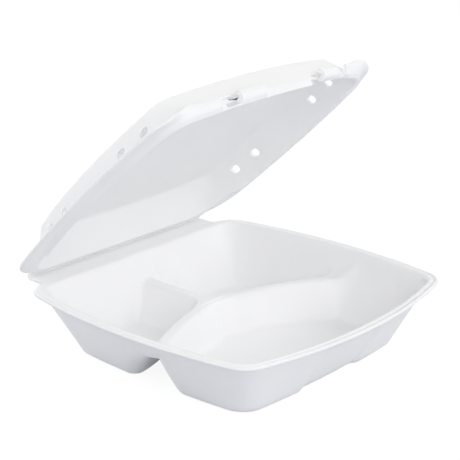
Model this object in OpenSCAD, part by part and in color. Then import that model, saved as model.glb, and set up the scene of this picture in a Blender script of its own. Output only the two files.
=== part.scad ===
// Foam food container: a tray with three compartments and a lid that stands open, both formed from one sheet.
// Millimetres. The origin is the middle of the standing plane, X runs along the fold, +Y points to the fold, Z is up.

/* [Container] */
// Width of the tray's rim along the fold
rim_w = 229; // [215:1:245]
// Depth of the tray's rim, from the crown of its front to the crown of its back
rim_d = 228; // [222:1:238]
// Distance of the rim's middle ahead of the origin
rim_ahead = 3; // [1:0.5:5]
// Height of the tray
tray_h = 47; // [42:1:54]
// Height of the lid above its own rim
lid_h = 23; // [18:1:28]
// Thickness of the foam sheet
sheet_t = 2.4; // [1.8:0.1:2.8]
// Angle through which the lid stands open
open_angle = 42.7; // [0:0.1:110]

/* [Rim] */
// Outward bow of the rim's left and right sides
side_bow = 10.9; // [6:0.1:14]
// Outward bow of the rim's front and back
front_bow = 16.6; // [10:0.1:20]
// Corner radius of the rim
corner_r = 20; // [14:1:26]
// Width of the tray's flange at the front and the sides
rim_flange = 7; // [5:0.5:10]
// Distance of the cavity's straight back edge behind the middle
opening_back = 92; // [86:0.5:98]
// Corner radius of the cavity's mouth
opening_r = 18; // [12:0.5:22]
// Width of the shallow groove pressed into the flange
groove_w = 1.6; // [0.8:0.1:2.4]
// Depth of that groove
groove_depth = 0.6; // [0.3:0.1:1]
// Distance of the groove inside the rim's edge
groove_in = 2.6; // [1.6:0.1:3]

/* [Base] */
// Width of the floor, measured where its plane meets the side walls
base_w = 165; // [150:1:178]
// Depth of the floor, measured where its plane meets the front and back walls
base_d = 160; // [146:1:170]
// Distance of the floor's middle ahead of the rim's middle
base_ahead = 2; // [0:0.5:6]
// Outward bow of each side of the floor
base_bow = 4; // [2:0.5:6]
// Corner radius of the floor
base_r = 17; // [12:1:22]
// Radius between the floor and the walls
foot_r = 6; // [3:0.5:8]

/* [Dividers] */
// Height of the dividers' ridges below the rim
ridge_drop = 19; // [14:0.5:23]
// Half the width of a ridge
ridge_half = 4; // [3:0.25:6]
// Rounding of a ridge's edges
ridge_r = 2.2; // [1:0.1:2.8]
// Distance of the point where the ridges meet behind the rim's middle
junction_y = 22.5; // [10:0.5:34]
// Radius of the curve that each side ridge follows
arm_r = 277; // [220:1:340]
// Forward lean of a side ridge where it leaves the junction, in degrees
arm_lean = 11.3; // [6:0.1:16]
// Rise of a ridge where it runs into the outer wall
ridge_rise = 8; // [4:0.5:10]
// Slope of the dividers' faces to the large compartment, in degrees from upright
front_draft = 15; // [8:1:20]
// Slope of the dividers' faces to the small compartments, in degrees from upright
back_draft = 22; // [12:1:28]
// Slope of the small compartments' corners at the outer wall, in degrees from upright
back_corner_draft = 46; // [38:1:48]
// Slope of the large compartment's corners at the outer wall, in degrees from upright
front_corner_draft = 26; // [20:1:32]
// Rounding between the dividers and the floor
divider_foot = 4; // [2:0.5:6]

/* [Front recess] */
// Half the width of the recess in the front wall
recess_half = 32; // [24:1:38]
// Depth of the recess
recess_depth = 3.2; // [2:0.1:4.5]
// Distance from the rim down to the top of the recess
recess_drop = 5; // [3:0.5:10]
// Height over which the recess fades into the wall
recess_fade = 6; // [3:0.5:10]

/* [Fold] */
// Distance of the fold line behind the rim's middle
hinge_y = 113.4; // [111:0.1:115]
// Length of the straight strip along the fold
hinge_w = 174; // [150:1:184]
// Clear gap between the two flanges along the fold
fold_gap = 0.4; // [0.3:0.05:0.8]
// Clear gap between the closed lid and the tray's rim
rest_gap = 0.3; // [0.3:0.05:0.8]

/* [Lid] */
// How far the lid's rim stands out beyond each side of the tray's rim
lid_over = 3; // [1:0.5:5]
// How far the closed lid's front edge stays behind the tray's
lid_short = 5.5; // [3:0.5:8]
// Width of the lid's flat panel
panel_w = 180; // [172:1:186]
// Distance of the panel's front edge ahead of the rim's middle
panel_front = 83; // [79:1:86]
// Distance of the panel's back edge behind the rim's middle
panel_back = 90; // [84:1:92]
// Outward bow of the panel's left and right sides
panel_side_bow = 9; // [5:0.5:11]
// Outward bow of the panel's front and back
panel_front_bow = 8; // [5:0.5:11]
// Corner radius of the panel
panel_r = 10; // [7:0.5:14]
// Slope of the lid's walls, in degrees from upright
lid_draft = 34; // [26:1:36]
// Radius between the panel and the lid's walls
lid_foot_r = 5; // [3:0.5:7]

/* [Vents] */
// Distances of the vents from the fold
vent_reach = [55, 78, 151, 174];
// Height of the vents above the lid's rim
vent_z = 10.5; // [8:0.5:12]
// Size of a vent across
vent_size = 5; // [3:0.5:7]
// Corner radius of a vent
vent_r = 1.6; // [1:0.1:1.8]

/* [Latch] */
// Distance of each notch's middle from the lid's centre line
notch_x = 38; // [34:0.5:42]
// Width of a notch
notch_w = 11; // [8:0.5:13]
// Depth of a notch from the lid's front edge
notch_depth = 9; // [7:0.5:9.5]
// Corner radius of a notch
notch_r = 2; // [1:0.5:3]
// Distance of the gap's middle beside the thumb tab from the centre line
gap_x = 67.5; // [64:0.5:70]
// Width of that gap
gap_w = 6; // [4:0.5:7]
// Distance of the gap's inner end ahead of the rim's middle
gap_end = 97; // [96:0.5:99]
// Length of the thumb tab
tab_w = 34; // [28:1:36]
// Radius of the tab's upward curl
tab_r = 8; // [7:0.5:9]
// Angle through which the tab curls
tab_turn = 52; // [40:1:70]
// Distance of the tab's middle from the centre line
tab_x = 88; // [86:0.5:90]
// Distance of the tab's root ahead of the rim's middle
tab_y = 91; // [89:0.5:93]
// Angle between the tab and the fold
tab_angle = 33; // [28:1:38]
// Length of the tab's flat root
tab_root = 5; // [4:0.5:6]
// Corner radius of the tab's free end
tab_corner = 6; // [3:0.5:8]

/* [Hidden] */
foam_colour = [0.94, 0.95, 0.96];
// Facets of the long bows and of the small corners
bow_fn = 180;
corner_fn = 32;
curl_fn = 48;
// Thickness of the slices that shape a hull
skin = 0.02;
// Overrun of the cuts
overrun = 8;
floor_z = sheet_t;
ridge_z = tray_h - ridge_drop;
// Angle turned between the floor and a wall, and its steps
foot_turn = 60;
foot_steps = [0, foot_turn / 3, foot_turn * 2 / 3, foot_turn];
// Sweep of a side ridge and its stations as shares of that sweep
arm_sweep = asin(sin(arm_lean) + rim_w / (2 * arm_r)) - arm_lean;
arm_shares = [-0.04, 0.05, 0.12, 0.24, 0.32, 0.4, 0.5, 0.58, 0.64, 0.7, 0.75, 0.8, 0.85, 0.9, 1];
// Stations of the centre divider as shares of its length
centre_shares = [0, 0.1, 0.2, 0.4, 0.5, 0.58, 0.64, 0.7, 0.75, 0.8, 0.85, 0.9, 1];
// Shares of the foot's size by which it stands out at the floor and half way up
foot_out_share = 0.8;
foot_mid_share = 0.25;
// Steps around a ridge's rounded edge
edge_shares = [0, 1 / 3, 2 / 3, 1];
centre_len = opening_back + rim_flange - junction_y;
// Share of a divider that its root at the junction takes
root_share = 0.2;
// Shares of a divider between which its ridge widens and rises into the wall, and between which its faces lean back
widen_shares = [0.75, 0.9];
lean_shares = [0.4, 0.7];
// Widening of a ridge at the wall and at the junction, as shares of its half width
wall_widen_share = 0.9;
root_widen_share = 1.6;
// Front and back walls of the cavity at the floor and at the rim
base_front = base_d / 2 + base_ahead;
opening_front = rim_d / 2 + rim_ahead - rim_flange;
lid_front = rim_d / 2 + rim_ahead - lid_short;
lid_run = (lid_h - sheet_t) * tan(lid_draft);
panel_d = panel_front + panel_back;

// Outline with four outward-bowed sides and rounded corners
module bowed(w, d, bow_x, bow_y, r) {
    half_x = w / 2 - bow_x;
    half_y = d / 2 - bow_y;
    side_r = (half_y * half_y + bow_x * bow_x) / (2 * bow_x);
    end_r = (half_x * half_x + bow_y * bow_y) / (2 * bow_y);
    offset(r = r, $fn = corner_fn)
        offset(delta = -r)
            intersection() {
                translate([w / 2 - side_r, 0]) circle(side_r, $fn = bow_fn);
                translate([side_r - w / 2, 0]) circle(side_r, $fn = bow_fn);
                translate([0, d / 2 - end_r]) circle(end_r, $fn = bow_fn);
                translate([0, end_r - d / 2]) circle(end_r, $fn = bow_fn);
            }
}

// Part of the plane ahead of a line across the container
module ahead_of(y) {
    translate([-rim_w, y - 2 * rim_d]) square([2 * rim_w, 2 * rim_d]);
}

// Straight strip of sheet along the fold
module hinge_strip() {
    translate([-hinge_w / 2, 0]) square([hinge_w, hinge_y]);
}

// Outline of a flange, cut off straight at the fold
module at_fold() {
    intersection() {
        union() {
            children();
            hinge_strip();
        }
        ahead_of(hinge_y - fold_gap / 2);
    }
}

module rim_outline() {
    translate([0, -rim_ahead]) bowed(rim_w, rim_d, side_bow, front_bow, corner_r);
}

// Mouth of the tray's cavity
module opening() {
    offset(r = opening_r, $fn = corner_fn)
        offset(delta = -opening_r)
            intersection() {
                offset(delta = -rim_flange) rim_outline();
                ahead_of(opening_back);
            }
}

module base_outline() {
    translate([0, -base_ahead]) bowed(base_w, base_d, base_bow, base_bow, base_r);
}

// Thin slice of an outline at a height
module slice(z) {
    translate([0, 0, z]) linear_extrude(skin) children();
}

// Drafted body of the tray with a rounded foot, grown outwards by a distance
module tray_body(grow, top) {
    r = foot_r + grow;
    hull() {
        slice(top) offset(delta = grow) opening();
        slice(tray_h - sheet_t) offset(delta = grow - sheet_t * tan(90 - foot_turn)) opening();
        for (a = foot_steps)
            slice(floor_z - grow + r * (1 - cos(a)))
                offset(delta = r * sin(a) - (r - grow) * tan(foot_turn / 2)) base_outline();
    }
}

// Point on a side ridge, and the way the ridge runs there
function arm_angle(s) = arm_lean + s * arm_sweep;
function arm_point(s) = [
    arm_r * (sin(arm_angle(s)) - sin(arm_lean)),
    junction_y + arm_r * (cos(arm_angle(s)) - cos(arm_lean))
];
// How far a divider has flared between two shares of its length, and how far it still belongs to the junction
function flare(s, shares) = pow(min(1, max(0, (s - shares[0]) / (shares[1] - shares[0]))), 2);
function root(s) = pow(max(0, (root_share - s) / root_share), 2);
function mix(a, b, k) = a + (b - a) * k;
// Half width and slope of a divider's face at a station
function half_at(s, rooted) =
    ridge_half * (1 + wall_widen_share * flare(s, widen_shares) + rooted * root_widen_share * root(s));
function draft_at(s, draft, corner) = mix(draft, corner, flare(s, lean_shares));
function back_at(s) = draft_at(s, back_draft, back_corner_draft);
function rise_at(s) = ridge_rise * flare(s, widen_shares);
function front_at(s) = draft_at(s, front_draft, front_corner_draft);

// How far a corner moves sideways when its top and its sloping face both move in by a distance
function corner_in(slope) = (1 - sin(slope)) / cos(slope);

// Points of a rounded ridge edge, from the face to the top or back
function ridge_edge(half, slope, top, r, share) = let (a = mix(slope, 90, share)) [
    half - r * corner_in(slope) + r * cos(a),
    top - r + r * sin(a)
];

// One side of a divider's cross-section from below the floor up to its ridge, shrunk by a distance
function half_profile(half, slope, rise, shrink) =
    let (
        top = ridge_z + rise - shrink,
        low = floor_z - shrink,
        edge = half - shrink * corner_in(slope),
        r = ridge_r * (1 - shrink / ridge_half),
        foot = edge + (top - low) * tan(slope)
    )
    concat(
        [
            [foot + divider_foot * foot_out_share, low - overrun],
            [foot + divider_foot * foot_out_share, low],
            [foot + divider_foot * foot_mid_share, low + divider_foot * foot_mid_share],
            [foot - divider_foot * tan(slope), low + divider_foot]
        ],
        [for (share = edge_shares) ridge_edge(edge, slope, top, r, share)]
    );

// Ring of points around a divider at one station: its small-compartment side, then its large-compartment side
function ring(front, back, front_slope, back_slope, rise, shrink) =
    let (
        b = half_profile(back, back_slope, rise, shrink),
        f = half_profile(front, front_slope, rise, shrink)
    )
    concat(b, [for (i = [len(f) - 1 : -1 : 0]) [-f[i].x, f[i].y]]);

// A ring set upright at a point, facing along a heading
function stand(points, p, heading) = [
    for (q = points) [p.x - q.x * sin(heading), p.y + q.x * cos(heading), q.y]
];

// Solid through a row of rings
module loft(rings) {
    n = len(rings[0]);
    m = len(rings);
    points = [for (r = rings) each r];
    sides = [
        for (i = [0 : m - 2], j = [0 : n - 1])
            let (k = (j + 1) % n)
                each [
                    [i * n + j, (i + 1) * n + j, (i + 1) * n + k],
                    [i * n + j, (i + 1) * n + k, i * n + k]
                ]
    ];
    first = [[for (j = [0 : n - 1]) j]];
    last = [[for (j = [n - 1 : -1 : 0]) (m - 1) * n + j]];
    polyhedron(points, concat(first, sides, last));
}

// The three dividers as solid walls, shrunk all round by a distance
module dividers(shrink) {
    arm = [
        for (s = arm_shares)
            stand(
                ring(half_at(s, 0), half_at(s, 1), front_at(s), back_at(s), rise_at(s), shrink),
                arm_point(s), -arm_angle(s)
            )
    ];
    centre = [
        for (s = centre_shares)
            stand(
                ring(half_at(s, 1), half_at(s, 1), back_at(s), back_at(s), rise_at(s), shrink),
                [0, junction_y + s * centre_len], 90
            )
    ];
    loft(arm);
    mirror([1, 0, 0]) loft(arm);
    loft(centre);
}

// Inside of the front wall on the centre line, at a height
function front_wall(z) = -mix(base_front, opening_front, (z - floor_z) / (tray_h - floor_z));

// Block that presses the recess into the front wall, its face set in by a distance
module recess_block(half, inset) {
    top = tray_h - recess_drop;
    low = top - recess_fade;
    translate([-half, 0, 0])
        rotate([90, 0, 90])
            linear_extrude(2 * half)
                polygon([
                    [-rim_d, -overrun],
                    [-rim_d, top],
                    [front_wall(top) - recess_depth, top],
                    [front_wall(low) + inset, low],
                    [front_wall(-overrun) + inset, -overrun]
                ]);
}

module front_recess(shrink) {
    translate([0, -shrink / cos(foot_turn / 2), 0])
        hull() {
            recess_block(recess_half - shrink, -recess_depth);
            recess_block(recess_half - shrink - recess_depth, recess_depth);
        }
}

// Flange around the tray's mouth with its pressed groove
module tray_flange() {
    difference() {
        translate([0, 0, tray_h - sheet_t]) linear_extrude(sheet_t) at_fold() rim_outline();
        translate([0, 0, tray_h - groove_depth])
            linear_extrude(overrun)
                intersection() {
                    difference() {
                        offset(delta = -groove_in) rim_outline();
                        offset(delta = -groove_in - groove_w) rim_outline();
                    }
                    ahead_of(opening_back);
                }
    }
}

module tray() {
    color(foam_colour)
        difference() {
            union() {
                tray_flange();
                difference() {
                    tray_body(sheet_t, tray_h - sheet_t / 2);
                    dividers(sheet_t);
                    front_recess(sheet_t);
                }
            }
            difference() {
                tray_body(0, tray_h + overrun);
                dividers(0);
                front_recess(0);
            }
        }
}

module panel_outline() {
    translate([0, (panel_back - panel_front) / 2]) bowed(panel_w, panel_d, panel_side_bow, panel_front_bow, panel_r);
}

// Drafted body of the lid with a rounded top edge, grown outwards by a distance
module lid_body(grow, bottom) {
    r = lid_foot_r + grow;
    turn = 90 - lid_draft;
    top = lid_h - sheet_t + grow;
    hull() {
        slice(bottom) offset(delta = lid_run + grow) panel_outline();
        slice(sheet_t) offset(delta = lid_run + grow - sheet_t * tan(lid_draft)) panel_outline();
        for (share = [0, 1 / 3, 2 / 3, 1])
            slice(top - r * (1 - cos(share * turn)) - skin)
                offset(delta = r * sin(share * turn) - (r - grow) * tan(turn / 2)) panel_outline();
    }
}

// Rounded bar through the lid between two corners of a rectangle, upright or along the fold
module rounded_bar(size, r, length) {
    hull()
        for (x = [r - size.x / 2, size.x / 2 - r], y = [r - size.y / 2, size.y / 2 - r])
            translate([x, y, 0]) cylinder(h = length, r = r, center = true, $fn = corner_fn);
}

// Notch cut into the lid's front rim as far back as a line
module rim_notch(x, w, back) {
    translate([x, -back - rim_d / 2, 0]) rounded_bar([w, rim_d], notch_r, 2 * overrun);
}

// Outline of the lid's rim
module lid_outline() {
    translate([0, lid_short / 2 - rim_ahead]) bowed(rim_w + 2 * lid_over, rim_d - lid_short, side_bow, front_bow, corner_r);
}

// Thumb tab curled upwards, its free end rounded
module thumb_tab() {
    translate([tab_x, -tab_y, 0])
        rotate([0, 0, tab_angle])
            intersection() {
                translate([-tab_w / 2, 0, 0])
                    rotate([90, 0, 90])
                        linear_extrude(tab_w) {
                            translate([-tab_root, 0]) square([2 * tab_root, sheet_t]);
                            translate([-tab_root, tab_r])
                                difference() {
                                    intersection() {
                                        circle(tab_r, $fn = curl_fn);
                                        polygon([
                                            [0, 0],
                                            [0, -2 * tab_r],
                                            [-2 * tab_r, -2 * tab_r],
                                            [-2 * tab_r * sin(tab_turn), -2 * tab_r * cos(tab_turn)]
                                        ]);
                                    }
                                    circle(tab_r - sheet_t, $fn = curl_fn);
                                }
                        }
                translate([0, overrun, 0])
                    rotate([90, 0, 0])
                        linear_extrude(4 * overrun)
                            offset(r = tab_corner, $fn = corner_fn)
                                offset(delta = -tab_corner)
                                    translate([-tab_w / 2, -tab_r])
                                        square([tab_w, tab_r * (2 - cos(tab_turn))]);
            }
}

// The lid as it lies closed, with its rim on the plane z = 0
module lid_shell() {
    difference() {
        union() {
            linear_extrude(sheet_t) at_fold() lid_outline();
            lid_body(sheet_t, 0);
            thumb_tab();
        }
        lid_body(0, -overrun);
        for (x = [-notch_x, notch_x]) rim_notch(x, notch_w, lid_front - notch_depth);
        rim_notch(gap_x, gap_w, gap_end);
        for (reach = vent_reach)
            translate([0, hinge_y - reach, vent_z])
                rotate([90, 0, 90])
                    rounded_bar([vent_size, vent_size], vent_r, 2 * rim_w);
    }
}

module lid() {
    color(foam_colour)
        translate([0, hinge_y, tray_h + rest_gap / 2])
            rotate([-open_angle, 0, 0])
                translate([0, -hinge_y, rest_gap / 2])
                    lid_shell();
}

tray();
lid();
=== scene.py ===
"""Looks of a hinged-lid foam food container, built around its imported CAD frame.

Sizes inside the classes are in millimetres, in the frame of the CAD model: X runs along the fold, +Y points
to the fold and Z is up. Meshes are turned to metres when they are made.
"""
import logging
import math
from dataclasses import dataclass, replace
from enum import Enum
from typing import Callable, Optional, Sequence

import bpy
import numpy as np
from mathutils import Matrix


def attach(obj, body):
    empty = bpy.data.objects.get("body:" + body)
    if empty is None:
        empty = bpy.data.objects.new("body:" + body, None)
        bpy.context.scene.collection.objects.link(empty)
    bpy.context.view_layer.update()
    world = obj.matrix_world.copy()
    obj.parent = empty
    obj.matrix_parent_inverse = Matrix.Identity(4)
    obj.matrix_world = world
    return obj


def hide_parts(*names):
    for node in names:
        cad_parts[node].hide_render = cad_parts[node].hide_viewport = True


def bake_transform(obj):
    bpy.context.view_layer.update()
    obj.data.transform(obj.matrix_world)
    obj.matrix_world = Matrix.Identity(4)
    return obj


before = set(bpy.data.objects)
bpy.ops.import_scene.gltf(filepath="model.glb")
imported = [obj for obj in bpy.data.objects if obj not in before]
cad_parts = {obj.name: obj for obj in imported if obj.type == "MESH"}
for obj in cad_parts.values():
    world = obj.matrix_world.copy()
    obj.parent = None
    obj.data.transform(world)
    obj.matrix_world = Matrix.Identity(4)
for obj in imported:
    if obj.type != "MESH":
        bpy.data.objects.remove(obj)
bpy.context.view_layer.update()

MM = 0.001
TINY = 1e-6
NOUGHT = 1e-12
FAR = 1e6
LEAN_LIMIT = 0.98
SHARP_DEGREES = 48
OUTLINE_HALVINGS = 44
EDGE_HALVINGS = 40
HEIGHT_HALVINGS = 22
MIX_A = 6
MIX_B = 7
MIX_RESULT = 2
LID_DEPTH = 20.6
LID_RUN = LID_DEPTH * math.tan(math.radians(29))
FRONT_BOW_R = 506.0
Array = np.ndarray
Span = tuple[float, float]
Place = tuple[float, float, float]
LOG = logging.getLogger("container")


class MouthWay(Enum):
    """The way a formed sheet's mouth faces once it is in place."""

    UP = 1
    DOWN = -1


def linear(code: str) -> tuple[float, float, float, float]:
    """Turns an sRGB hex colour to linear.

    Args:
        code: Six hex digits, with or without a leading hash.

    Returns:
        Linear red, green, blue and an alpha of one.
    """
    digits = code.lstrip("#")
    parts = [int(digits[i:i + 2], 16) / 255 for i in (0, 2, 4)]
    values = [p / 12.92 if p <= 0.04045 else ((p + 0.055) / 1.055) ** 2.4 for p in parts]
    return values[0], values[1], values[2], 1.0


def smooth_step(value: Array, low: float, high: float) -> Array:
    """Eases from nought at low to one at high, which may lie below low."""
    share = np.clip((value - low) / (high - low), 0, 1)
    return share * share * (3 - 2 * share)


def add_node(tree: bpy.types.NodeTree, kind: str, links: Sequence[tuple] = (),
             **settings: object) -> bpy.types.Node:
    """Adds a node with its settings and links.

    Args:
        tree: Tree that takes the node.
        kind: Blender's name of the node type.
        links: Pairs of an input's name or place and the socket that feeds it.
        settings: Node attributes, or with a leading "in_" the values of inputs by place or name.

    Returns:
        The new node.
    """
    node = tree.nodes.new(kind)
    for name, value in settings.items():
        if name.startswith("in_"):
            key = name[3:].replace("_", " ")
            node.inputs[int(key) if key.isdigit() else key].default_value = value
        else:
            setattr(node, name, value)
    for key, source in links:
        tree.links.new(source, node.inputs[key])
    return node


def halved(holds: Callable[[Array], Array], low: Array, high: Array, steps: int) -> Array:
    """Finds by halving where a test stops holding.

    Args:
        holds: The test, true at low and false at high.
        low: Values at which it holds.
        high: Values at which it fails.
        steps: Number of halvings.

    Returns:
        Values at which it stops holding.
    """
    for _ in range(steps):
        mid = (low + high) / 2
        held = holds(mid)
        low = np.where(held, mid, low)
        high = np.where(held, high, mid)
    return (low + high) / 2


def loft_faces(count: int, rings: int) -> list[list[int]]:
    """Joins rings of points to a closed skin with flat ends.

    Args:
        count: Points in each ring.
        rings: Number of rings.

    Returns:
        Corners of each face.
    """
    last = (rings - 1) * count
    faces = [list(range(count))[::-1], list(range(last, last + count))]
    for row in range(0, last, count):
        for i in range(count):
            after = (i + 1) % count
            faces.append([row + i, row + after, row + count + after, row + count + i])
    return faces


def smooth(mesh: bpy.types.Mesh) -> None:
    """Shades a mesh smooth, with sharp edges where it turns hard."""
    mesh.shade_smooth()
    mesh.set_sharp_from_angle(angle=math.radians(SHARP_DEGREES))


def new_object(name: str, points: Array, faces: Sequence[Sequence[int]]) -> bpy.types.Object:
    """Makes a mesh object from points in millimetres.

    Args:
        name: Name of the object and its mesh.
        points: Places of its corners, in rows.
        faces: Corners of each face.

    Returns:
        The object, linked to the scene.
    """
    mesh = bpy.data.meshes.new(name)
    mesh.from_pydata((points * MM).tolist(), [], faces)
    mesh.validate()
    mesh.update()
    smooth(mesh)
    piece = bpy.data.objects.new(name, mesh)
    bpy.context.scene.collection.objects.link(piece)
    return piece


def punched(formed: bpy.types.Object, tools: Sequence[bpy.types.Object]) -> bpy.types.Object:
    """Cuts a formed sheet with its tools and removes them.

    Args:
        formed: The sheet.
        tools: Closed shapes that take foam away.

    Returns:
        The sheet, with the cuts in its mesh.
    """
    for tool in tools:
        cut = formed.modifiers.new(tool.name, "BOOLEAN")
        cut.operation = "DIFFERENCE"
        cut.solver = "MANIFOLD"
        cut.object = tool
    graph = bpy.context.evaluated_depsgraph_get()
    mesh = bpy.data.meshes.new_from_object(formed.evaluated_get(graph))
    formed.modifiers.clear()
    mesh.materials.clear()
    formed.data = mesh
    smooth(mesh)
    for tool in tools:
        bpy.data.objects.remove(tool)
    return formed


@dataclass
class SolidField:
    """Distance outside a solid at many points, with the way straight out of it."""

    gap: Array
    way: Array

    def joined(self, other: "SolidField", radius: float) -> "SolidField":
        """Joins two solids with a hollow fillet.

        Args:
            other: The second solid.
            radius: Radius of the fillet between them.

        Returns:
            The joined solid.
        """
        lean = np.clip((self.way * other.way).sum(0), -LEAN_LIMIT, LEAN_LIMIT)
        a = radius - self.gap
        b = radius - other.gap
        curved = (a > lean * b) & (b > lean * a)
        spread = 1 - lean * lean
        reach = np.sqrt(np.maximum(a * a + b * b - 2 * a * b * lean, NOUGHT) / spread)
        gap = np.where(curved, radius - reach, np.minimum(self.gap, other.gap))
        mixed = ((a - lean * b) * self.way + (b - lean * a) * other.way) / (spread * reach)
        plain = np.where(self.gap < other.gap, self.way, other.way)
        return SolidField(gap, np.where(curved, mixed, plain))

    def turned(self) -> "SolidField":
        """Gives the space around the solid."""
        return SolidField(-self.gap, -self.way)

    def trimmed(self, other: "SolidField", radius: float) -> "SolidField":
        """Keeps what lies in both solids, with an edge rounded to a radius."""
        return self.turned().joined(other.turned(), radius).turned()

    def met(self, other: "SolidField") -> "SolidField":
        """Keeps what lies in both solids, with a sharp edge."""
        way = np.where(self.gap > other.gap, self.way, other.way)
        return SolidField(np.maximum(self.gap, other.gap), way)


FieldAt = Callable[[Array], SolidField]


@dataclass(frozen=True)
class BowedOutline:
    """Outline with four outward-bowed sides and rounded corners.

    A back_line cuts the bowed back off straight or, with back_moved, stands in for it.
    """

    width: float
    depth: float
    side_bow: float
    front_bow: float
    corner_r: float
    ahead: float = 0.0
    inset: float = 0.0
    back_line: Optional[float] = None
    back_moved: bool = False

    def bowed(self, across: Array, along: Array, size: float, bow: float, half: float) -> tuple:
        """Measures from a pair of bowed sides.

        Args:
            across: Places across the pair, from midway between them.
            along: Places along the pair, from their middles.
            size: Distance between their middles.
            bow: How far each side bows outwards.
            half: Half the length of each side.

        Returns:
            Distance outside the nearer side, and the way out of it across and along.
        """
        r = (half * half + bow ** 2) / (2 * bow)
        past = np.abs(across) + r - size / 2
        reach = np.hypot(past, along)
        return reach - r + self.inset, np.where(across < 0, -1, 1) * past / reach, along / reach

    def measure(self, x: Array, y: Array) -> tuple[Array, Array, Array]:
        """Measures from the whole outline.

        Args:
            x: Places along the fold.
            y: Places towards the fold.

        Returns:
            Distance outside the outline, below nought inside it, and the way out.
        """
        offset = y + self.ahead
        half_x = self.width / 2 - self.side_bow
        half_y = self.depth / 2 - self.front_bow
        gap, way_x, way_y = self.bowed(x, offset, self.width, self.side_bow, half_y)
        sides = SolidField(gap, np.array([way_x, way_y]))
        gap, way_y, way_x = self.bowed(offset, x, self.depth, self.front_bow, half_x)
        if self.back_line is not None:
            beyond = y - self.back_line
            straight = (offset > 0) & (self.back_moved | (beyond > gap))
            gap = np.where(straight, beyond, gap)
            way_x = np.where(straight, 0, way_x)
            way_y = np.where(straight, 1, way_y)
        both = sides.trimmed(SolidField(gap, np.array([way_x, way_y])), self.corner_r)
        return both.gap, both.way[0], both.way[1]

    def radius(self, angles: Array) -> Array:
        """Finds how far the outline is from the origin.

        Args:
            angles: Directions from the origin, in radians.

        Returns:
            Distance to the outline in each direction.
        """
        low = np.zeros_like(angles)
        high = np.full_like(angles, self.width + self.depth)
        c = np.cos(angles)
        s = np.sin(angles)
        return halved(lambda r: self.measure(r * c, r * s)[0] < 0, low, high, OUTLINE_HALVINGS)


@dataclass(frozen=True)
class Fold:
    """The straight fold that the tray and the lid share."""

    y: float = 113.4
    z: float = 47.15
    half_w: float = 87.0
    gap: float = 0.4
    open_angle: float = 42.7
    shut_gap: float = 0.3
    least_sine: float = 0.05
    corner_fan: tuple[float, ...] = (-4.6, -4.2, -3.8, -3.4, -2.6, -1.7, -0.8, -0.3, 0.0, 0.3)

    def edge(self) -> float:
        """Gives where each flange ends, short of the fold line."""
        return self.y - self.gap / 2

    def squared(self, angles: Array, radii: Array) -> Array:
        """Adds the straight strip along the fold to an outline and cuts it off at the fold.

        Args:
            angles: Directions from the origin, in radians.
            radii: The outline's distance in each direction.

        Returns:
            Distance of the new outline in each direction.
        """
        sine = np.maximum(np.sin(angles), TINY)
        line = np.where(np.sin(angles) > self.least_sine, self.edge() / sine, FAR)
        side = self.half_w / np.maximum(np.abs(np.cos(angles)), TINY)
        strip = np.where(line < FAR, np.minimum(side, line), 0)
        return np.minimum(np.maximum(radii, strip), line)

    def angles(self) -> Array:
        """Gives extra directions that hold the ends of the strip crisp."""
        fan = math.atan2(self.edge(), self.half_w) + np.radians(np.array(self.corner_fan))
        return np.concatenate([fan, math.pi - fan])

    def lay(self, points: Array) -> Array:
        """Takes points of the closed lid to where they are with the lid open.

        Args:
            points: Places with the lid's rim on the plane z = 0, in rows.

        Returns:
            The same points on the open lid.
        """
        turn = math.radians(self.open_angle)
        ahead = points[:, 1] - self.y
        above = points[:, 2] + self.shut_gap / 2
        y = self.y + ahead * math.cos(turn) + above * math.sin(turn)
        z = self.z - ahead * math.sin(turn) + above * math.cos(turn)
        return np.stack([points[:, 0], y, z], axis=1)


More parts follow.
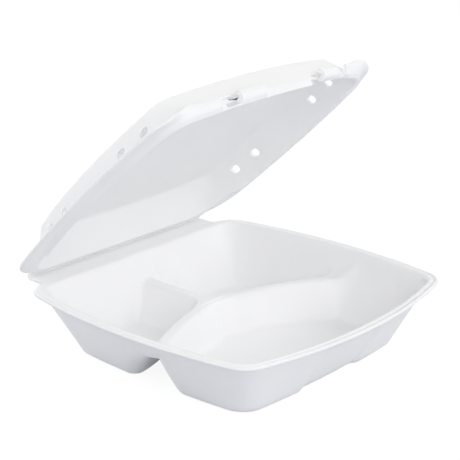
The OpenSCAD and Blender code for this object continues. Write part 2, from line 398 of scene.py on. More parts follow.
@dataclass(frozen=True)
class Dividers:
    """The three hollow ridges between the tray's compartments."""

    junction_y: float = 22.5
    arm_r: float = 277.0
    arm_lean: float = 11.3
    arm_sweep: float = 26.2
    centre_len: float = 76.5
    ridge_z: float = 28.0
    half: float = 4.0
    edge_r: float = 2.0
    rise: float = 8.0
    front_draft: float = 15.0
    back_draft: float = 22.0
    front_corner_draft: float = 26.0
    back_corner_draft: float = 46.0
    centre_corner_draft: float = 27.0
    root_share: float = 0.2
    root_widen: float = 1.6
    end_from: float = 0.75
    end_to: float = 0.9
    end_widen: float = 0.9
    lean_from: float = 0.4
    lean_to: float = 0.7
    join_r: float = 3.0

    @staticmethod
    def flare(share: Array, low: float, high: float) -> Array:
        """Gives how far a divider has flared at a share of its length."""
        return np.clip((share - low) / (high - low), 0, 1) ** 2

    def half_at(self, share: Array, rooted: float) -> Array:
        """Gives a ridge's half width.

        Args:
            share: Share of the divider's length from the junction.
            rooted: One where the ridge widens into the junction, else nought.

        Returns:
            Half width at each share.
        """
        root = np.maximum(0, (self.root_share - share) / self.root_share) ** 2
        end = self.end_widen * self.flare(share, self.end_from, self.end_to)
        return self.half * (1 + end + rooted * self.root_widen * root)

    def top_at(self, share: Array) -> Array:
        """Gives a ridge's height at a share of its length."""
        return self.ridge_z + self.rise * self.flare(share, self.end_from, self.end_to)

    def lean_at(self, share: Array, draft: float, corner: float) -> Array:
        """Gives a face's slope in radians, from its draft and its draft at the outer wall in degrees."""
        return np.radians(draft + (corner - draft) * self.flare(share, self.lean_from, self.lean_to))

    @staticmethod
    def wall(across: Array, half: Array, lean: Array, top: Array, way: Array) -> FieldAt:
        """Makes one leaning face of a divider.

        Args:
            across: Distance from the ridge's middle towards this face.
            half: Half width of the ridge.
            lean: Slope of the face from upright.
            top: Height of the ridge.
            way: Level direction that the face looks in, two rows.

        Returns:
            The face's field at a height.
        """
        c = np.cos(lean)
        s = np.sin(lean)
        out = np.array([way[0] * c, way[1] * c, s])
        return lambda z: SolidField((across - half) * c - (top - z) * s, out)

    def plan(self, x: Array, y: Array) -> FieldAt:
        """Lays the dividers out over the floor.

        Args:
            x: Places along the fold.
            y: Places towards the fold.

        Returns:
            The dividers' field at a height over those places.
        """
        lean = math.radians(self.arm_lean)
        side = np.where(x < 0, -1, 1)
        dx = np.abs(x) + self.arm_r * math.sin(lean)
        dy = y - self.junction_y + self.arm_r * math.cos(lean)
        reach = np.hypot(dx, dy)
        share = (np.degrees(np.arctan2(dx, dy)) - self.arm_lean) / self.arm_sweep
        radial = np.array([side * dx / reach, dy / reach])
        across = reach - self.arm_r
        top = self.top_at(share)
        back_lean = self.lean_at(share, self.back_draft, self.back_corner_draft)
        front_lean = self.lean_at(share, self.front_draft, self.front_corner_draft)
        back = self.wall(across, self.half_at(share, 1), back_lean, top, radial)
        front = self.wall(-across, self.half_at(share, 0), front_lean, top, -radial)
        run = (y - self.junction_y) / self.centre_len
        mid_top = self.top_at(run)
        mid_lean = self.lean_at(run, self.back_draft, self.centre_corner_draft)
        none = np.zeros_like(x)
        middle = self.wall(np.abs(x), self.half_at(run, 1), mid_lean, mid_top, np.array([side, none]))
        up = np.array([none, none, np.ones_like(x)])
        start = SolidField(self.junction_y - y, np.array([none, -np.ones_like(x), none]))

        def at(z: Array) -> SolidField:
            """Gives the dividers' field at a height."""
            arm = SolidField(z - top, up).trimmed(back(z).met(front(z)), self.edge_r)
            centre = SolidField(z - mid_top, up).trimmed(middle(z), self.edge_r).met(start)
            return arm.joined(centre, self.join_r)

        return at


@dataclass
class FormedSheet:
    """A dish pressed from one foam sheet, worked out mouth up on spokes about the origin."""

    name: str
    body: str
    floor: BowedOutline
    mouth: BowedOutline
    rim: BowedOutline
    fold: Fold
    floor_z: float
    rim_z: float
    mouth_way: MouthWay
    foot_r: float
    rim_r: float = 3.0
    sheet_t: float = 2.4
    spokes: int = 400
    floor_rings: int = 76
    wall_rings: int = 30
    flange_rings: int = 26
    edge_steps: int = 5
    standing_r: float = 3.5
    standing_more: float = 4.0
    standing_more_x: Span = (55.0, 82.0)
    least_width: float = 1.0
    least_turn: float = 0.0006
    search_below: float = 2.0
    search_above: float = 12.0
    slope_step: float = 0.25

    def edge_radius(self, angles: Array) -> Array:
        """Gives how far the sheet reaches in each direction."""
        return self.fold.squared(angles, self.rim.radius(angles))

    def wall_inset(self, x: Array, y: Array, z: Array) -> Array:
        """Gives how far the wall is pressed inwards."""
        return np.zeros_like(x)

    def rim_height(self, x: Array, y: Array) -> Array:
        """Gives the height of the flange."""
        return np.full_like(x, self.rim_z)

    def standing(self, x: Array, y: Array) -> Optional[FieldAt]:
        """Gives what stands on the floor, if anything does."""
        return None

    def beaded(self, x: Array, y: Array, flat: SolidField, z: Array) -> SolidField:
        """Adds what is raised on the flange, if anything is."""
        return flat

    def cutters(self) -> list[bpy.types.Object]:
        """Makes the tools that punch the sheet once it is formed."""
        return []

    def pressed(self, points: Array) -> Array:
        """Gives the sheet its last bends, once its skins are made."""
        return points

    def surface(self, x: Array, y: Array, bare: bool = False) -> Array:
        """Finds the height of the sheet's mouth side.

        Args:
            x: Places along the fold.
            y: Places towards the fold.
            bare: Whether to leave off what is raised on the flange.

        Returns:
            Height at each place.
        """
        base, base_x, base_y = self.floor.measure(x, y)
        mouth, mouth_x, mouth_y = self.mouth.measure(x, y)
        run = np.maximum(base - mouth, self.least_width)
        height = self.rim_z - self.floor_z
        slant = np.hypot(run, height)
        c = height / slant
        out_x = base_x + mouth_x
        out_y = base_y + mouth_y
        length = np.maximum(np.hypot(out_x, out_y), TINY)
        wall_way = np.array([-out_x / length * c, -out_y / length * c, run / slant])
        up = np.array([np.zeros_like(x), np.zeros_like(x), np.ones_like(x)])
        standing = self.standing(x, y)
        standing_r = self.standing_r + self.standing_more * smooth_step(np.abs(x), *self.standing_more_x)
        top = self.rim_height(x, y)

        def under(z: Array) -> Array:
            """Tells whether a height is under the sheet's mouth side."""
            share = (z - self.floor_z) / height
            gap = -((1 - share) * base + share * mouth) - self.wall_inset(x, y, z)
            solid = SolidField(gap * c, wall_way)
            if standing is not None:
                solid = standing(z).joined(solid, standing_r)
            solid = solid.joined(SolidField(z - self.floor_z, up), self.foot_r)
            flat = SolidField(z - top, up)
            return solid.trimmed(flat if bare else self.beaded(x, y, flat, z), self.rim_r).gap < 0

        low = np.full_like(x, self.floor_z - self.search_below)
        high = np.full_like(x, self.rim_z + self.search_above)
        return halved(under, low, high, HEIGHT_HALVINGS)

    def skins(self) -> tuple[Array, Array, int]:
        """Works out both skins of the sheet, ring by ring from the middle.

        Returns:
            Points of the mouth side and of the outer side, and the number of spokes.
        """
        even = np.linspace(0, 2 * math.pi, self.spokes, endpoint=False)
        extra = np.mod(self.fold.angles(), 2 * math.pi)
        every = np.unique(np.round(np.concatenate([even, extra]), 6))
        angles = every[np.concatenate([[True], np.diff(every) > self.least_turn])]
        edge = self.edge_radius(angles) - self.sheet_t / 2
        mouth = np.minimum(self.mouth.radius(angles) + self.rim_r, edge - self.least_width)
        floor = self.floor.radius(angles)
        inner = np.linspace(0, 1, self.floor_rings, endpoint=False)[1:, None] * floor
        wall = floor + np.linspace(0, 1, self.wall_rings, endpoint=False)[:, None] * (mouth - floor)
        flange = mouth + np.linspace(0, 1, self.flange_rings)[:, None] * (edge - mouth)
        radii = np.concatenate([inner, wall, flange])
        x = np.concatenate([[0.0], (radii * np.cos(angles)).ravel()])
        y = np.concatenate([[0.0], (radii * np.sin(angles)).ravel()])
        near = np.stack([x, y, self.surface(x, y)], axis=1)
        h = self.slope_step
        slope_x = (self.surface(x + h, y, True) - self.surface(x - h, y, True)) / (2 * h)
        slope_y = (self.surface(x, y + h, True) - self.surface(x, y - h, True)) / (2 * h)
        way = np.stack([-slope_x, -slope_y, np.ones_like(x)], axis=1)
        way /= np.linalg.norm(way, axis=1)[:, None]
        far = np.stack([x, y, self.surface(x, y, True)], axis=1) - self.sheet_t * way
        return near, far, len(angles)

    def rounded_edge(self, near: Array, far: Array) -> Array:
        """Makes the rings around the sheet's cut edge.

        Args:
            near: Last ring of the mouth side.
            far: Last ring of the outer side.

        Returns:
            Rings of points from the mouth side to the outer side.
        """
        middle = (near + far) / 2
        out = middle.copy()
        out[:, 2] = 0
        out /= np.linalg.norm(out, axis=1)[:, None]
        rings = []
        for step in range(1, self.edge_steps + 1):
            turn = math.pi * step / (self.edge_steps + 1)
            rings.append(middle + (near - middle) * math.cos(turn) + out * self.sheet_t / 2 * math.sin(turn))
        return np.array(rings)

    def mesh_parts(self) -> tuple[Array, list]:
        """Joins the skins and the edge to one closed sheet.

        Returns:
            Points in the closed frame, and faces.
        """
        near, far, count = self.skins()
        near_rings = near[1:].reshape(-1, count, 3)
        far_rings = far[1:].reshape(-1, count, 3)
        edge = self.rounded_edge(near_rings[-1], far_rings[-1])
        rings = np.concatenate([near_rings, edge, far_rings[::-2]])
        points = np.concatenate([near[:1], rings.reshape(-1, 3), far[:1]])
        points = self.pressed(points)
        faces = []
        last = len(points) - 1
        spoke = np.arange(count)
        after = np.roll(spoke, -1)
        for ring in range(len(rings) - 1):
            a = 1 + ring * count
            b = a + count
            quads = np.stack([a + spoke, b + spoke, b + after, a + after], axis=1)
            faces.extend(quads.tolist())
        first = 1 + (len(rings) - 1) * count
        faces.extend(np.stack([np.zeros(count, int), 1 + spoke, 1 + after], axis=1).tolist())
        faces.extend(np.stack([np.full(count, last), first + after, first + spoke], axis=1).tolist())
        points[:, 2] *= self.mouth_way.value
        if self.mouth_way is MouthWay.DOWN:
            faces = [f[::-1] for f in faces]
        return points, faces

    def placed(self, points: Array) -> Array:
        """Takes points from the closed frame to where they are at rest."""
        return points

    def make(self) -> bpy.types.Object:
        """Makes the sheet's object.

        Returns:
            The object, with its place in its mesh.
        """
        points, faces = self.mesh_parts()
        formed = new_object(self.name, self.placed(points), faces)
        tools = self.cutters()
        return punched(formed, tools) if tools else formed


@dataclass
class Tray(FormedSheet):
    """The deep half with its three compartments."""

    name: str = "tray_sheet"
    body: str = "tray"
    floor: BowedOutline = BowedOutline(165, 160, 4, 4, 17, ahead=2)
    mouth: BowedOutline = BowedOutline(229, 228, 10.9, 16.6, 18, ahead=3, inset=7, back_line=92)
    rim: BowedOutline = BowedOutline(229, 228, 10.9, 16.6, 20, ahead=3)
    fold: Fold = Fold()
    floor_z: float = 2.4
    rim_z: float = 47.0
    mouth_way: MouthWay = MouthWay.UP
    foot_r: float = 6.0
    dividers: Dividers = Dividers()
    recess_half: float = 30.0
    recess_soft: float = 3.0
    recess_depth: float = 3.2
    recess_top: float = 42.0
    recess_fade: float = 7.0
    recess_front: float = -40.0
    groove_in: float = 3.4
    groove_half: float = 1.7
    groove_depth: float = 0.6
    groove_back: float = 92.0

    def wall_inset(self, x: Array, y: Array, z: Array) -> Array:
        """Presses the recess into the front wall.

        Args:
            x: Places along the fold.
            y: Places towards the fold.
            z: Heights.

        Returns:
            How far the wall is pressed inwards.
        """
        soft = self.recess_soft
        across = smooth_step(np.abs(x), self.recess_half + soft, self.recess_half - soft)
        upward = smooth_step(z, self.recess_top, self.recess_top - self.recess_fade)
        return np.where(y < self.recess_front, self.recess_depth * across * upward, 0)

    def standing(self, x: Array, y: Array) -> Optional[FieldAt]:
        """Stands the dividers on the floor."""
        return self.dividers.plan(x, y)

    def rim_height(self, x: Array, y: Array) -> Array:
        """Presses the shallow groove into the flange.

        Args:
            x: Places along the fold.
            y: Places towards the fold.

        Returns:
            Height of the flange.
        """
        inside = -self.rim.measure(x, y)[0]
        share = np.clip(np.abs(inside - self.groove_in) / self.groove_half, 0, 1)
        dip = self.groove_depth * (0.5 + 0.5 * np.cos(math.pi * share))
        return self.rim_z - np.where(y < self.groove_back, dip, 0)


@dataclass(frozen=True)
class Punch:
    """A rounded bar along the fold's direction that cuts a sheet, in the sheet's closed frame."""

    name: str
    low: Place
    high: Place
    edge_r: float
    bow_r: float = 0.0
    stations: int = 9
    steps: int = 4

    def make(self, place: Callable[[Array], Array]) -> bpy.types.Object:
        """Makes the bar.

        Args:
            place: Takes points from the closed frame to where they are at rest.

        Returns:
            The bar's object.
        """
        turns = np.radians(np.linspace(0, 90, self.steps + 1))
        corners = []
        for number, (side, up) in enumerate(((1, 1), (-1, 1), (-1, -1), (1, -1))):
            y = (self.high[1] if side > 0 else self.low[1]) - side * self.edge_r
            z = (self.high[2] if up > 0 else self.low[2]) - up * self.edge_r
            arc = turns + number * math.pi / 2
            round_y = y + self.edge_r * np.cos(arc)
            round_z = z + self.edge_r * np.sin(arc)
            corners.append(np.stack([round_y, round_z], axis=1))
        ring = np.concatenate(corners)
        count = len(ring)
        points = []
        for x in np.linspace(self.low[0], self.high[0], self.stations):
            bow = x * x / (2 * self.bow_r) if self.bow_r else 0.0
            points.append(np.stack([np.full(count, x), ring[:, 0] + bow, ring[:, 1]], axis=1))
        faces = loft_faces(count, self.stations)
        return new_object(self.name, place(np.concatenate(points)), faces)


@dataclass
class Lid(FormedSheet):
    """The shallow half, worked out mouth up and then turned over and laid open."""

    name: str = "lid_sheet"
    body: str = "lid"
    floor: BowedOutline = BowedOutline(180, 173, 9, 8, 10, ahead=-3.5)
    mouth: BowedOutline = BowedOutline(180, 173, 9, 8, 10 + LID_RUN, ahead=-3.5, inset=-LID_RUN,
                                       back_line=108.5, back_moved=True)
    rim: BowedOutline = BowedOutline(235, 222.5, 10.9, 16.6, 20, ahead=0.25)
    fold: Fold = Fold()
    floor_z: float = -LID_DEPTH
    rim_z: float = 0.0
    mouth_way: MouthWay = MouthWay.DOWN
    foot_r: float = 5.0
    rim_r: float = 1.0
    front_y: float = -50.0
    rear_y: float = 20.0
    reach_from: float = 60.0
    reach_to: float = 260.0
    ridge_h: float = 4.2
    ridge_foot: float = 6.8
    ridge_lean: float = 31.0
    ridge_edge_r: float = 0.8
    ridge_root_r: float = 2.0
    dip_share: float = 0.75
    dip_from: Span = (18.0, 38.0)
    dip_to: Span = (86.0, 64.0)
    ridge_end: float = 64.0
    ridge_run: float = 18.0
    rear_bow: float = 6.0
    rear_r: float = 32.0
    lip_root: float = 3.6
    lip_r: float = 2.2
    lip_w: float = 11.3
    lip_more: float = 7.0
    lip_more_x: Span = (-88.0, -108.0)
    lip_fade_x: Span = (-102.0, -68.0)
    lip_end: float = 60.5
    tab_from: float = 68.0
    tab_side: float = 64.0
    tab_r: float = 4.5
    tab_w: float = 10.4
    tab_more: float = 3.6
    tab_more_x: Span = (72.0, 96.0)
    tab_fade_x: Span = (102.0, 82.0)
    tab_blend: float = 2.0
    corner_more: float = 6.0
    corner_more_y: Span = (-80.0, -50.0)
    least_bend: float = 1e-4
    vent_reach: tuple[float, ...] = (55.0, 78.0, 151.0, 174.0)
    vent_z: float = 10.5
    vent_w: float = 7.4
    vent_h: float = 5.6
    vent_r: float = 2.4
    vent_side: float = 140.0
    punches: tuple[Punch, ...] = (
        Punch("slot", (-57.0, -130.0, -2.5), (-41.0, -97.0, 20.0), 0.3, FRONT_BOW_R),
        Punch("middle", (-18.0, -130.0, -6.0), (41.0, -96.6, 20.0), 0.3, FRONT_BOW_R),
        Punch("gap", (60.5, -130.0, -2.5), (68.0, -97.0, 20.0), 0.3, FRONT_BOW_R),
        Punch("foot_0", (-52.0, -104.0, -1.6), (-40.5, -86.0, 1.2), 0.8, FRONT_BOW_R),
        Punch("upright_0", (-45.5, -104.0, -1.6), (-40.5, -86.0, 6.0), 0.8, FRONT_BOW_R),
        Punch("foot_1", (30.0, -104.0, -1.6), (41.5, -86.0, 1.2), 0.8, FRONT_BOW_R),
        Punch("upright_1", (36.5, -104.0, -1.6), (41.5, -86.0, 6.0), 0.8, FRONT_BOW_R),
        Punch("tab_eye", (60.0, -104.0, 0.0), (64.5, -86.0, 5.0), 0.8, FRONT_BOW_R),
    )

    def beaded(self, x: Array, y: Array, flat: SolidField, z: Array) -> SolidField:
        """Raises the ridge that sits inside the tray's mouth when the lid is shut.

        Args:
            x: Places along the fold.
            y: Places towards the fold.
            flat: Field of the flange without the ridge.
            z: Heights.

        Returns:
            Field of the flange with the ridge.
        """
        gap, way_x, way_y = self.mouth.measure(x, y)
        c = math.cos(math.radians(self.ridge_lean))
        s = math.sin(math.radians(self.ridge_lean))
        slope = SolidField((z - self.rim_z) * c + (gap - self.ridge_foot) * s,
                           np.array([way_x * s, way_y * s, 0 * x + c]))
        fade = smooth_step(y, self.ridge_end + self.ridge_run, self.ridge_end)
        dip = np.minimum(smooth_step(x, *self.dip_from), smooth_step(x, *self.dip_to))
        fade = fade * np.where(y < self.front_y, 1 - self.dip_share * dip, 1)
        cap = SolidField(z - self.rim_z - self.ridge_h * fade, flat.way)
        return flat.joined(cap.trimmed(slope, self.ridge_edge_r), self.ridge_root_r)

    def edge_radius(self, angles: Array) -> Array:
        """Gives how far the sheet reaches, with its flange trimmed along the front.

        Args:
            angles: Directions from the origin, in radians.

        Returns:
            Distance to the edge in each direction.
        """
        rear = replace(self.rim, front_bow=self.rear_bow, corner_r=self.rear_r)
        c = np.cos(angles)
        s = np.sin(angles)

        def inside(reach: Array) -> Array:
            """Tells whether a reach in each direction is still on the sheet."""
            x = reach * c
            y = reach * s
            lips = self.lip_w + self.lip_more * smooth_step(x, *self.lip_more_x)
            tab = self.tab_w + self.tab_more * smooth_step(x, *self.tab_more_x)
            tab = tab + self.corner_more * smooth_step(y, *self.corner_more_y)
            limit = np.where(x > self.tab_side, tab, lips)
            rim = np.where(y > self.rear_y, rear.measure(x, y)[0], self.rim.measure(x, y)[0])
            return (rim < 0) & ((self.mouth.measure(x, y)[0] < limit) | (y > self.front_y))

        low = np.full_like(angles, self.reach_from)
        high = np.full_like(angles, self.reach_to)
        return self.fold.squared(angles, halved(inside, low, high, EDGE_HALVINGS))

    def pressed(self, points: Array) -> Array:
        """Rolls the front lips and the tab away from the tray.

        Args:
            points: Places on both skins, mouth up, in rows.

        Returns:
            The same points, rolled.
        """
        x = points[:, 0]
        y = points[:, 1]
        gap, way_x, way_y = self.mouth.measure(x, y)
        above = -points[:, 2]
        lips = smooth_step(x, *self.lip_fade_x) / self.lip_r
        tab = smooth_step(x, *self.tab_fade_x) / self.tab_r
        share = smooth_step(x, self.lip_end + self.tab_blend, self.tab_from - self.tab_blend)
        rolled = np.where(y < self.front_y, lips * (1 - share) + tab * share, 0)
        bend = np.maximum(rolled, self.least_bend)
        past = gap - self.lip_root
        live = (past > 0) & (bend > self.least_bend)
        turn = past * bend
        centre = 1 / bend + self.sheet_t / 2
        shift = self.lip_root + (centre - above) * np.sin(turn) - gap
        height = centre - (centre - above) * np.cos(turn)
        moved = np.stack([x + way_x * shift, y + way_y * shift, -height], axis=1)
        return np.where(live[:, None], moved, points)

    def cutters(self) -> list[bpy.types.Object]:
        """Makes the punches for the vents, the slots beside the lips and the gap beside the tab.

        Returns:
            The punches' objects, at rest.
        """
        vents = []
        wide = self.vent_w / 2
        tall = self.vent_h / 2
        for number, reach in enumerate(self.vent_reach):
            y = self.fold.y - reach
            vents.append(Punch(f"vent_{number}", (-self.vent_side, y - wide, self.vent_z - tall),
                               (self.vent_side, y + wide, self.vent_z + tall), self.vent_r))
        return [bar.make(self.placed) for bar in (*vents, *self.punches)]

    def placed(self, points: Array) -> Array:
        """Lays the lid open about the fold."""
        return self.fold.lay(points)


@dataclass(frozen=True)
class FoldRow:
    """A shape repeated along the fold by Geometry Nodes."""

    name: str
    count: int
    pitch: float

    def make(self, motif: bpy.types.Object, foam: bpy.types.Material) -> bpy.types.Object:
        """Makes the row as a plain mesh and removes the motif.

        Args:
            motif: The shape to repeat, in its place at the middle of the fold.
            foam: Material of the row.

        Returns:
            The row's object.
        """
        row = bpy.data.objects.new(self.name, bpy.data.meshes.new(self.name))
        bpy.context.scene.collection.objects.link(row)
        tree = bpy.data.node_groups.new("spaced_along_fold", "GeometryNodeTree")
        ports = tree.interface
        kinds = {"Motif": "Object", "Count": "Int", "Pitch": "Float", "Start": "Vector"}
        for name, kind in kinds.items():
            ports.new_socket(name, in_out="INPUT", socket_type=f"NodeSocket{kind}")
        ports.new_socket("Geometry", in_out="OUTPUT", socket_type="NodeSocketGeometry")
        given = add_node(tree, "NodeGroupInput").outputs
        step = add_node(tree, "ShaderNodeCombineXYZ", [("X", given["Pitch"])])
        line = add_node(tree, "GeometryNodeMeshLine",
                        [("Count", given["Count"]), ("Start Location", given["Start"]),
                         ("Offset", step.outputs[0])], mode="OFFSET")
        shape = add_node(tree, "GeometryNodeObjectInfo", [("Object", given["Motif"])])
        spread = add_node(tree, "GeometryNodeInstanceOnPoints",
                          [("Points", line.outputs["Mesh"]), ("Instance", shape.outputs["Geometry"])])
        real = add_node(tree, "GeometryNodeRealizeInstances", [("Geometry", spread.outputs["Instances"])])
        add_node(tree, "NodeGroupOutput", [("Geometry", real.outputs["Geometry"])])
        maker = row.modifiers.new("row", "NODES")
        maker.node_group = tree
        start = (-(self.count - 1) / 2 * self.pitch * MM, 0.0, 0.0)
        values = {"Motif": motif, "Count": self.count, "Pitch": self.pitch * MM, "Start": start}
        for port in tree.interface.items_tree:
            if port.in_out == "INPUT":
                maker[port.identifier] = values[port.name]
        graph = bpy.context.evaluated_depsgraph_get()
        mesh = bpy.data.meshes.new_from_object(row.evaluated_get(graph))
        row.modifiers.clear()
        mesh.materials.clear()
        mesh.materials.append(foam)
        row.data = mesh
        bpy.data.objects.remove(motif)
        bpy.data.node_groups.remove(tree)
        return row


@dataclass(frozen=True)
class PerforatedFold:
    """The foam left between the perforations of the fold, with a row of crimps on either side."""

    fold: Fold
    count: int = 51
    pitch: float = 3.4
    notch: float = 0.2
    rib_r: float = 2.5
    rib_steps: int = 10
    rib_ends: tuple[tuple[float, int], ...] = ((-0.5, 1), (-0.32, 0), (0.32, 0), (0.5, 1))
    tail: float = 0.5
    tray_lap: float = 0.25
    lid_lap: Span = (0.02, 0.05)
    tray_top: float = 47.0
    tray_crimp_away: float = 4.4
    lid_crimp_away: float = 1.7
    crimp_h: float = 0.22
    crimp_root: float = 0.4
    crimp_sides: int = 8

    def rib(self) -> bpy.types.Object:
        """Makes one rib, a knuckle from the tray's flange round the back to the lid's.

        Returns:
            The rib's object, at the middle of the fold.
        """
        turns = np.radians(np.linspace(-90.0, 90.0 - self.fold.open_angle, self.rib_steps))
        open_turn = math.radians(self.fold.open_angle)
        back = np.array([-math.cos(open_turn), math.sin(open_turn)]) * self.tail
        inward = np.array([math.cos(turns.mean()), math.sin(turns.mean())])
        points = []
        for x, notch in self.rib_ends:
            r = self.rib_r - notch * self.notch
            arc = np.stack([r * np.cos(turns), r * np.sin(turns)], axis=1)
            tray_end = [[-self.tail, -self.tray_lap], [-self.tail, -r]]
            lid_end = [arc[-1] + back, back + np.array(self.lid_lap)]
            ring = np.concatenate([tray_end, arc, lid_end])
            ring[[0, -1]] += inward * notch * self.notch
            points.append(np.stack([np.full(len(ring), x * self.pitch), self.fold.y + ring[:, 0],
                                    self.fold.z + ring[:, 1]], axis=1))
        faces = loft_faces(len(points[0]), len(points))
        return new_object("rib", np.concatenate(points), faces)

    def crimp(self, on_lid: bool) -> bpy.types.Object:
        """Makes one crimp, a low pillow raised on a flange.

        Args:
            on_lid: Whether it sits on the lid's flange, else on the tray's.

        Returns:
            The crimp's object.
        """
        h = self.crimp_h
        pillow = ((1.15, 0.95, -self.crimp_root), (1.15, 0.95, 0.0), (0.95, 0.75, 0.7 * h), (0.55, 0.4, h))
        count = self.crimp_sides
        turns = np.radians((np.arange(count) + 0.5) * 360 / count)
        rings = []
        for half_x, half_y, up in pillow:
            level = np.full(count, up)
            rings.append(np.stack([half_x * np.cos(turns), half_y * np.sin(turns), level], axis=1))
        points = np.concatenate(rings)
        faces = loft_faces(count, len(pillow))
        points[:, 1] += self.fold.y - (self.lid_crimp_away if on_lid else self.tray_crimp_away)
        if not on_lid:
            points[:, 2] += self.tray_top
            return new_object("crimp", points, faces)
        points[:, 2] *= -1
        return new_object("crimp", self.fold.lay(points), [f[::-1] for f in faces])

    def make(self, foam: bpy.types.Material) -> None:
        """Makes the ribs and both rows of crimps, and sets what the crimp rows move with.

        Args:
            foam: Material of the foam sheet.
        """
        ribs = FoldRow("fold_ribs", self.count, self.pitch).make(self.rib(), foam)
        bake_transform(ribs)
        LOG.info("%s: %d faces", ribs.name, len(ribs.data.polygons))
        for name, body, on_lid in (("tray_crimp_row", "tray", False), ("lid_crimp_row", "lid", True)):
            row = FoldRow(name, self.count, self.pitch).make(self.crimp(on_lid), foam)
            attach(row, body)
            LOG.info("%s: %d faces", row.name, len(row.data.polygons))


@dataclass(frozen=True)
class FoamSheetFinish:
    """Extruded polystyrene foam sheet: plain white, with a satin skin over tiny closed cells.

    The skin gives a soft broad sheen and slow waves left by the forming; the cells give a fine mottle.
    Cells are about 0.3 mm across, too fine for the render, so they are drawn 1.6 mm across.
    """

    colour: str = "#FAFAFA"
    shade: str = "#F5F5F6"
    roughness: float = 0.6
    ior: float = 1.5
    gloss: float = 0.25
    cell_mm: float = 1.6
    wave_mm: float = 34.0
    cell_bump_mm: float = 0.03
    wave_bump_mm: float = 0.35
    wave_detail: float = 2.0

    def make(self) -> bpy.types.Material:
        """Makes the material.

        Returns:
            The foam sheet's material.
        """
        material = bpy.data.materials.new("polystyrene_foam_sheet")
        material.use_nodes = True
        tree = material.node_tree
        tree.nodes.clear()
        place = add_node(tree, "ShaderNodeTexCoord")
        cells = add_node(tree, "ShaderNodeTexVoronoi", [("Vector", place.outputs["Object"])],
                         in_Scale=1 / (self.cell_mm * MM))
        waves = add_node(tree, "ShaderNodeTexNoise", [("Vector", place.outputs["Object"])],
                         in_Scale=1 / (self.wave_mm * MM), in_Detail=self.wave_detail)
        blend = add_node(tree, "ShaderNodeMix", [("Factor", waves.outputs["Fac"])], data_type="RGBA")
        blend.inputs[MIX_A].default_value = linear(self.shade)
        blend.inputs[MIX_B].default_value = linear(self.colour)
        fine = add_node(tree, "ShaderNodeBump", [("Height", cells.outputs["Distance"])], in_Strength=1.0,
                        in_Distance=self.cell_bump_mm * MM)
        broad = add_node(tree, "ShaderNodeBump",
                         [("Height", waves.outputs["Fac"]), ("Normal", fine.outputs["Normal"])],
                         in_Strength=1.0, in_Distance=self.wave_bump_mm * MM)
        shader = add_node(tree, "ShaderNodeBsdfPrincipled",
                          [("Base Color", blend.outputs[MIX_RESULT]), ("Normal", broad.outputs["Normal"])],
                          in_Roughness=self.roughness, in_IOR=self.ior, in_Specular_IOR_Level=self.gloss)
        add_node(tree, "ShaderNodeOutputMaterial", [("Surface", shader.outputs["BSDF"])])
        return material


@dataclass(frozen=True)
class SoftLamp:
    """A square soft box, placed by its angles around and above the object, in degrees."""

    name: str
    around: float
    above: float
    watts: float
    away: float = 1600.0
    size: float = 1000.0


LAMPS = (
    SoftLamp("back_left_box", -140, 30, 6.0),
    SoftLamp("left_box", -95, 32, 3.8),
    SoftLamp("front_left_box", -40, 18, 3.4),
    SoftLamp("front_box", 0, 14, 2.6),
    SoftLamp("front_right_box", 45, 20, 3.2),
    SoftLamp("right_box", 90, 35, 5.8),
    SoftLamp("back_box", 170, 35, 6.5),
    SoftLamp("front_high_box", -15, 50, 2.4),
    SoftLamp("front_mid_box", -10, 32, 5.2),
)


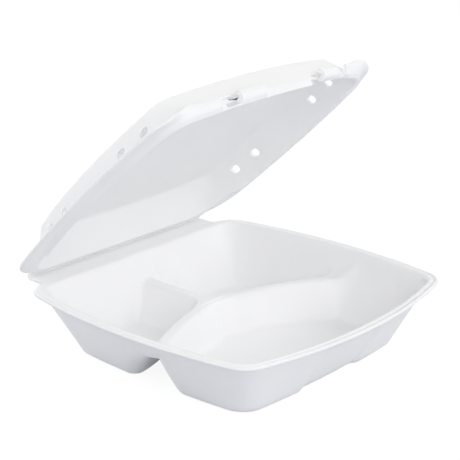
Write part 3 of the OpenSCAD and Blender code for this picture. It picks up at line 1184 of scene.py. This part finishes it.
@dataclass(frozen=True)
class Studio:
    """Pale floor, soft lamps and the camera at the photograph's angle."""

    floor_radius: float = 6000.0
    floor_sides: int = 64
    floor_drop: float = 0.2
    floor_colour: str = "#D9DCE2"
    ambient: float = 0.270
    floor_glow: float = 0.8
    floor_white: float = 1.13
    eye: Place = (-680.6, -599.2, 397.4)
    aim: Place = (7.1, 10.7, 81.0)
    lens: float = 110.6
    sensor: float = 36.0
    sight_end: float = 100.0
    lamp_aim: Place = (0.0, 0.0, 60.0)

    @staticmethod
    def sight(tree: bpy.types.NodeTree) -> bpy.types.NodeSocket:
        """Picks out the rays that see the white around the object.

        Args:
            tree: Node tree to add the nodes to.

        Returns:
            Socket that is one for the camera's own rays and for mirrored and passed-through ones.
        """
        path = add_node(tree, "ShaderNodeLightPath")
        seen = path.outputs["Is Camera Ray"]
        for ray in ("Is Glossy Ray", "Is Transmission Ray"):
            pair = [(0, seen), (1, path.outputs[ray])]
            seen = add_node(tree, "ShaderNodeMath", pair, operation="MAXIMUM").outputs[0]
        return seen

    def make_floor(self) -> bpy.types.Object:
        """Makes the floor.

        Returns:
            The floor's object.
        """
        sides = self.floor_sides
        turns = np.linspace(0, 2 * math.pi, sides, endpoint=False)
        points = np.stack([np.cos(turns), np.sin(turns), np.zeros(sides)], axis=1) * self.floor_radius
        points[:, 2] = -self.floor_drop
        floor = new_object("studio_floor", points, [list(range(sides))])
        material = bpy.data.materials.new("matt_white_paper")
        material.use_nodes = True
        tree = material.node_tree
        tree.nodes.clear()
        seen = add_node(tree, "ShaderNodeMath", [(0, self.sight(tree))], operation="MULTIPLY",
                        in_1=self.floor_glow)
        grain = add_node(tree, "ShaderNodeBsdfDiffuse", in_Color=linear(self.floor_colour))
        glow = add_node(tree, "ShaderNodeEmission", in_Strength=self.floor_white)
        both = add_node(tree, "ShaderNodeMixShader",
                        [(0, seen.outputs[0]), (1, grain.outputs[0]), (2, glow.outputs[0])])
        add_node(tree, "ShaderNodeOutputMaterial", [("Surface", both.outputs[0])])
        floor.data.materials.append(material)
        return floor

    def make_world(self) -> None:
        """Makes the soft light from all round, white where it is seen."""
        world = bpy.data.worlds.new("studio_air")
        bpy.context.scene.world = world
        world.use_nodes = True
        tree = world.node_tree
        tree.nodes.clear()
        level = add_node(tree, "ShaderNodeMapRange", [("Value", self.sight(tree))])
        level.inputs["To Min"].default_value = self.ambient
        level.inputs["To Max"].default_value = 1.0
        air = add_node(tree, "ShaderNodeBackground", [("Strength", level.outputs["Result"])],
                       in_Color=linear("#FFFFFF"))
        add_node(tree, "ShaderNodeOutputWorld", [("Surface", air.outputs[0])])

    def make_lamp(self, lamp: SoftLamp) -> None:
        """Makes a soft square lamp that faces the object.

        Args:
            lamp: Sizes and level of the lamp.
        """
        data = bpy.data.lights.new(lamp.name, "AREA")
        data.shape = "SQUARE"
        data.size = lamp.size * MM
        data.energy = lamp.watts
        thing = bpy.data.objects.new(lamp.name, data)
        bpy.context.scene.collection.objects.link(thing)
        around = math.radians(lamp.around)
        above = math.radians(lamp.above)
        level = math.cos(above) * lamp.away
        height = math.sin(above) * lamp.away + self.lamp_aim[2]
        place = (math.sin(around) * level, -math.cos(around) * level, height)
        self.face(thing, place, self.lamp_aim)

    @staticmethod
    def face(thing: bpy.types.Object, place: Place, aim: Place) -> None:
        """Sets a lamp or camera at a place, facing a point.

        Args:
            thing: The lamp or camera.
            place: Its place, in millimetres.
            aim: The point it faces, in millimetres.
        """
        way = np.array(aim) - np.array(place)
        way = way / np.linalg.norm(way)
        thing.location = [v * MM for v in place]
        tilt = math.acos(-way[2])
        thing.rotation_euler = (tilt, 0, math.atan2(-way[0], way[1]))

    def make_camera(self) -> None:
        """Makes the camera."""
        data = bpy.data.cameras.new("camera")
        data.lens = self.lens
        data.sensor_width = self.sensor
        data.clip_end = self.sight_end
        camera = bpy.data.objects.new("camera", data)
        bpy.context.scene.collection.objects.link(camera)
        self.face(camera, self.eye, self.aim)
        bpy.context.scene.camera = camera


def main() -> None:
    """Builds the pieces in order."""
    logging.basicConfig(level=logging.INFO, format="%(message)s")
    bpy.context.scene.view_settings.view_transform = "Standard"
    studio = Studio()
    studio.make_floor()
    studio.make_world()
    for lamp in LAMPS:
        studio.make_lamp(lamp)
    studio.make_camera()
    foam = FoamSheetFinish().make()
    fold = Fold()
    for sheet in (Tray(fold=fold), Lid(fold=fold)):
        piece = sheet.make()
        piece.data.materials.append(foam)
        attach(piece, sheet.body)
        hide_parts(sheet.body)
        LOG.info("%s: %d faces", piece.name, len(piece.data.polygons))
    PerforatedFold(fold).make(foam)


if __name__ == "__main__":
    main()
